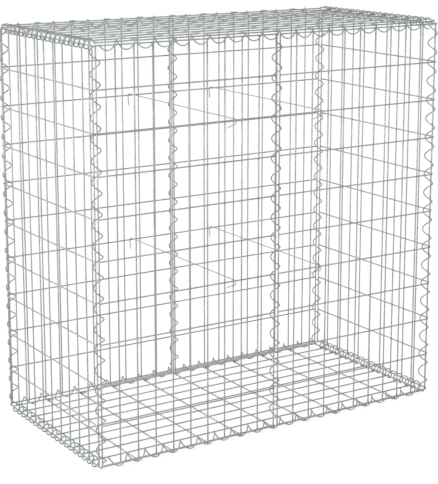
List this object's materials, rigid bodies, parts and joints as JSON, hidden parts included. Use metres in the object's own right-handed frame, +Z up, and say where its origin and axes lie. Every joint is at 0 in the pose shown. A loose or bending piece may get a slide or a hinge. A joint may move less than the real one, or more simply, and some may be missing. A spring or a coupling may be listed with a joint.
{
  "type": "gabion basket",
  "caption": "Empty box-shaped basket of welded wire mesh with a lid, its panels laced along the edges by helical spirals and tied across by hooked wires, to hold stone fill in a wall.",
  "frame": {"origin": "under the middle of the basket, at the level of the lowest turns of its spirals", "axes": "+Z up, +X along the basket's length to the right as seen from the front, -Y towards the front"},
  "size_m": [1.0168, 0.526, 1.0168],
  "materials": {
    "mesh_wire": "hot-dip galvanised",
    "spiral_wire": "galvanised",
    "tie_wire": "galvanised"
  },
  "bodies": {
    "root": {"front_left_panel": "mesh_wire", "front_right_panel": "mesh_wire", "back_left_panel": "mesh_wire", "back_right_panel": "mesh_wire", "left_side_panel": "mesh_wire", "right_side_panel": "mesh_wire", "base_panel": "mesh_wire", "lid_panel": "mesh_wire", "front_left_corner_spiral": "spiral_wire", "front_right_corner_spiral": "spiral_wire", "back_left_corner_spiral": "spiral_wire", "back_right_corner_spiral": "spiral_wire", "front_middle_spiral": "spiral_wire", "back_middle_spiral": "spiral_wire", "base_front_spiral": "spiral_wire", "base_back_spiral": "spiral_wire", "base_left_spiral": "spiral_wire", "base_right_spiral": "spiral_wire", "lid_front_spiral": "spiral_wire", "lid_back_spiral": "spiral_wire", "lid_left_spiral": "spiral_wire", "lid_right_spiral": "spiral_wire", "lower_left_tie": "tie_wire", "lower_right_tie": "tie_wire", "upper_left_tie": "tie_wire", "upper_right_tie": "tie_wire"}
  },
  "joints": []
}
